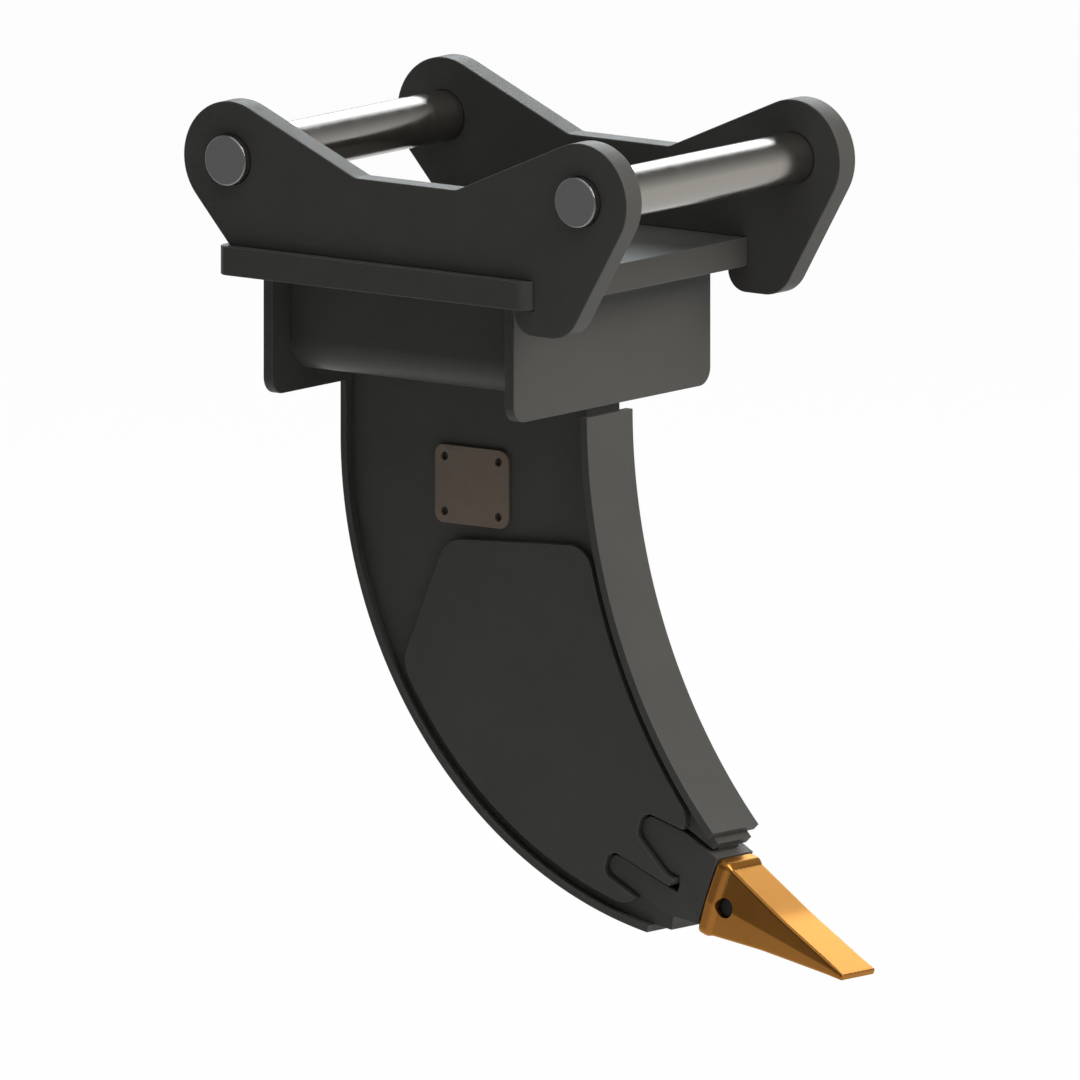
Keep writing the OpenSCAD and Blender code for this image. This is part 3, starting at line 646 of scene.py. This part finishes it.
# soft studio light; toward points from the object to the lamp
lamps = {
    "frontBox": {"toward": (1.0, 0.1, 0.92), "distance": 6.0, "wide": 4.0, "high": 4.0, "energy": 345,
                 "color": (1.0, 0.97, 0.90)},
    "topBox": {"toward": (0.05, -0.15, 1.0), "distance": 5.0, "wide": 4.0, "high": 7.0, "energy": 88,
               "color": (0.9, 0.95, 1.0)},
    "backBox": {"toward": (-0.348, 0.792, 0.501), "distance": 7.2, "wide": 4.55, "high": 2.9, "energy": 236,
                "color": (0.9, 0.96, 1.0)}}
lampAim = Vector((0.05, 0.0, -0.5))


def placeLamps():
    for name, look in lamps.items():
        data = bpy.data.lights.new(name, "AREA")
        data.shape = "RECTANGLE"
        data.size = look["wide"]
        data.size_y = look["high"]
        data.energy = look["energy"]
        data.color = look["color"]
        lamp = bpy.data.objects.new(name, data)
        scene.collection.objects.link(lamp)
        toward = Vector(look["toward"]).normalized()
        lamp.location = lampAim + toward * look["distance"]
        lamp.rotation_euler = toward.to_track_quat("Z", "Y").to_euler()


placeLamps()
print("lamps placed:", len(lamps))


# a mask that counts only for what shines
def shineOnly(tree, mask):
    path = addNode(tree, "ShaderNodeLightPath")
    shine = addNode(tree, "ShaderNodeMath", operation="MULTIPLY")
    tree.links.new(mask, shine.inputs[0])
    tree.links.new(path.outputs["Is Glossy Ray"], shine.inputs[1])
    return shine.outputs[0]


# one for what the camera sees, straight, mirrored or through, and nothing for plain light
def seenByEye(tree):
    path = addNode(tree, "ShaderNodeLightPath")
    first = addNode(tree, "ShaderNodeMath", operation="MAXIMUM")
    both = addNode(tree, "ShaderNodeMath", operation="MAXIMUM")
    tree.links.new(path.outputs["Is Camera Ray"], first.inputs[0])
    tree.links.new(path.outputs["Is Glossy Ray"], first.inputs[1])
    tree.links.new(first.outputs[0], both.inputs[0])
    tree.links.new(path.outputs["Is Transmission Ray"], both.inputs[1])
    return both.outputs[0]


# what shines sees a white sweep that darkens towards the ceiling and into the room behind the camera
backdrop = {
    "ambient": (0.97, 0.98, 1.0, 1), "ambientLevel": 0.085, "white": (1, 1, 1, 1),
    "ceiling": (0.12, 0.12, 0.12, 1), "ceilingFrom": 0.62,
    "room": (0.18, 0.18, 0.18, 1), "roomToward": (0.607, -0.795, 0.0), "roomFrom": -0.2, "roomFull": 0.3}


def buildBackdrop():
    world = bpy.data.worlds.new("studio")
    scene.world = world
    world.use_nodes = True
    tree = world.node_tree
    tree.nodes.clear()
    link = tree.links.new
    ray = addNode(tree, "ShaderNodeTexCoord")
    apart = addNode(tree, "ShaderNodeSeparateXYZ")
    climb = addNode(tree, "ShaderNodeMapRange", {"From Max": backdrop["ceilingFrom"]})
    tone = addNode(tree, "ShaderNodeMix",
                   {"A": backdrop["white"], "B": backdrop["ceiling"]}, data_type="RGBA")
    facing = addNode(tree, "ShaderNodeVectorMath", {1: backdrop["roomToward"]}, operation="DOT_PRODUCT")
    behind = addNode(tree, "ShaderNodeMapRange",
                     {"From Min": backdrop["roomFrom"], "From Max": backdrop["roomFull"]})
    darken = addNode(tree, "ShaderNodeMix", {"B": backdrop["room"]}, data_type="RGBA", blend_type="MULTIPLY")
    seen = addNode(tree, "ShaderNodeBackground")
    soft = addNode(tree, "ShaderNodeBackground",
                   {"Color": backdrop["ambient"], "Strength": backdrop["ambientLevel"]})
    mix = addNode(tree, "ShaderNodeMixShader")
    out = addNode(tree, "ShaderNodeOutputWorld")
    link(ray.outputs["Generated"], apart.inputs[0])
    link(apart.outputs["Z"], climb.inputs["Value"])
    link(shineOnly(tree, climb.outputs["Result"]), tone.inputs["Factor"])
    link(ray.outputs["Generated"], facing.inputs[0])
    link(facing.outputs["Value"], behind.inputs["Value"])
    link(shineOnly(tree, behind.outputs["Result"]), darken.inputs["Factor"])
    link(tone.outputs["Result"], darken.inputs["A"])
    link(darken.outputs["Result"], seen.inputs["Color"])
    link(seenByEye(tree), mix.inputs["Fac"])
    link(soft.outputs[0], mix.inputs[1])
    link(seen.outputs[0], mix.inputs[2])
    link(mix.outputs[0], out.inputs["Surface"])


# drop is how far below the object the floor lies; what shines sees it fade into the room
floor = {
    "color": (0.76, 0.76, 0.76, 1), "show": 0.975, "drop": 0.38, "size": 80.0,
    "fadeFrom": -0.25, "fadeFull": -2.9}


def floorMaterial():
    material = bpy.data.materials.new("paleFloor")
    material.use_nodes = True
    tree = material.node_tree
    tree.nodes.clear()
    link = tree.links.new
    spot = addNode(tree, "ShaderNodeTexCoord")
    apart = addNode(tree, "ShaderNodeSeparateXYZ")
    fade = addNode(tree, "ShaderNodeMapRange", {"From Min": floor["fadeFrom"], "From Max": floor["fadeFull"]})
    tone = addNode(tree, "ShaderNodeMix", {"A": backdrop["white"], "B": backdrop["room"]}, data_type="RGBA")
    glow = addNode(tree, "ShaderNodeEmission")
    matt = addNode(tree, "ShaderNodeBsdfDiffuse", {"Color": floor["color"]})
    share = addNode(tree, "ShaderNodeMath", {1: floor["show"]}, operation="MULTIPLY")
    mix = addNode(tree, "ShaderNodeMixShader")
    out = addNode(tree, "ShaderNodeOutputMaterial")
    link(spot.outputs["Object"], apart.inputs[0])
    link(apart.outputs["Y"], fade.inputs["Value"])
    link(shineOnly(tree, fade.outputs["Result"]), tone.inputs["Factor"])
    link(tone.outputs["Result"], glow.inputs["Color"])
    link(seenByEye(tree), share.inputs[0])
    link(share.outputs[0], mix.inputs["Fac"])
    link(matt.outputs[0], mix.inputs[1])
    link(glow.outputs[0], mix.inputs[2])
    link(mix.outputs[0], out.inputs["Surface"])
    return material


def buildFloor():
    half = floor["size"] / 2
    level = cadBox[0][2] - floor["drop"]
    corners = [(-half, -half, level), (half, -half, level), (half, half, level), (-half, half, level)]
    mesh = bpy.data.meshes.new("floor")
    mesh.from_pydata(corners, [], [(0, 1, 2, 3)])
    linkPiece("floor", mesh, floorMaterial())


buildBackdrop()
buildFloor()
print("stage set")
